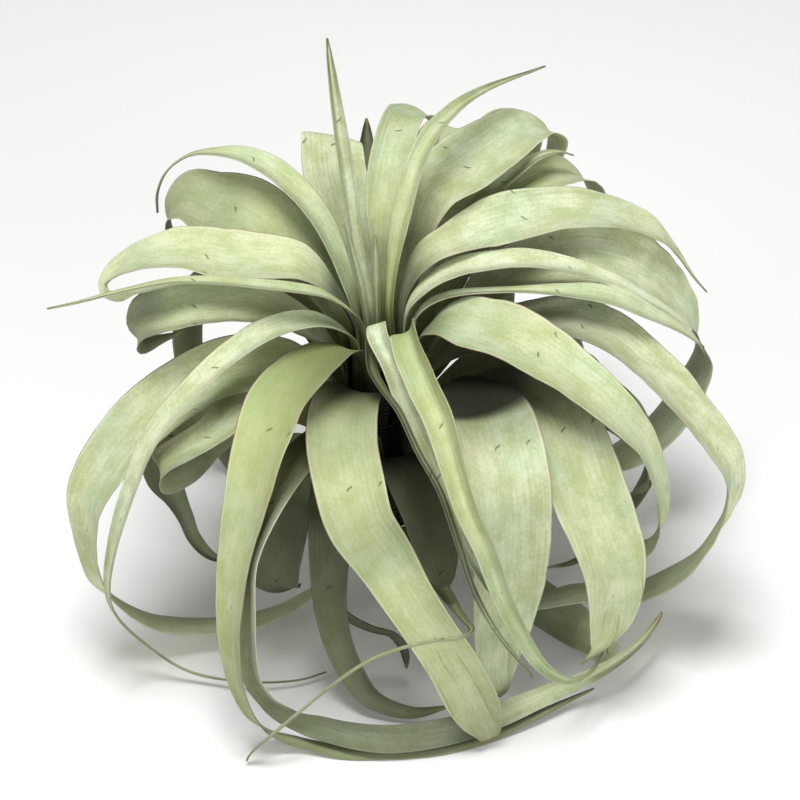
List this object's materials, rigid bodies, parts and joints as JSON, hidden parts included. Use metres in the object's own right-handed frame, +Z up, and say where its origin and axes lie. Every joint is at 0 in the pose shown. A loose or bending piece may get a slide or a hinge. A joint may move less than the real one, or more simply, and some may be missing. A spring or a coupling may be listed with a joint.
{
  "type": "tillandsia xerographica",
  "caption": "Living air plant: a rosette of broad, silvery, curling leaves that taper to thin tips, loose and with no pot, resting on its own curled leaves.",
  "frame": {"origin": "on the surface the plant rests on, below the middle of its bounding box", "axes": "+Z up from the surface, +X to the right and +Y away from the viewer in the usual front view"},
  "size_m": [0.276, 0.2352, 0.2571],
  "materials": {
    "leaf": "matt, velvety with fine silvery scales",
    "stem": "matt and fibrous"
  },
  "bodies": {
    "root": {"leaf_01_centre_blade": "leaf", "leaf_02_young_blade": "leaf", "leaf_03_front_channel": "leaf", "leaf_04_right_spear": "leaf", "leaf_05_left_ribbon": "leaf", "leaf_06_front_thread": "leaf", "leaf_07_tall_spear": "leaf", "leaf_08_right_ribbon": "leaf", "leaf_09_left_arch": "leaf", "leaf_10_back_blade": "leaf", "leaf_11_back_right_blade": "leaf", "leaf_12_left_blade": "leaf", "leaf_13_front_right_channel": "leaf", "leaf_14_back_right_arch": "leaf", "leaf_15_front_left_ribbon": "leaf", "leaf_16_right_rod": "leaf", "leaf_17_back_left_blade": "leaf", "leaf_18_back_high_strip": "leaf", "leaf_19_left_back_blade": "leaf", "leaf_20_front_left_blade": "leaf", "leaf_21_right_blade": "leaf", "leaf_22_back_narrow": "leaf", "leaf_23_left_under_blade": "leaf", "leaf_24_far_right_strip": "leaf", "leaf_25_right_far_blade": "leaf", "leaf_26_back_far_blade": "leaf", "leaf_27_front_blade": "leaf", "leaf_28_right_back_blade": "leaf", "leaf_29_left_front_blade": "leaf", "leaf_30_front_right_blade": "leaf", "leaf_31_left_short_blade": "leaf", "leaf_32_right_front_blade": "leaf", "leaf_33_back_left_low": "leaf", "leaf_34_back_right_low": "leaf", "leaf_35_front_ring": "leaf", "leaf_36_right_under_blade": "leaf", "leaf_37_back_middle_low": "leaf", "leaf_38_inner_right_front": "leaf", "leaf_39_inner_front": "leaf", "leaf_40_low_left": "leaf", "leaf_41_low_right": "leaf", "leaf_42_low_left_back": "leaf", "leaf_43_low_right_back": "leaf", "leaf_44_inner_curl": "leaf", "leaf_45_low_right_front": "leaf", "leaf_46_front_strip": "leaf", "stem": "stem"}
  },
  "joints": []
}
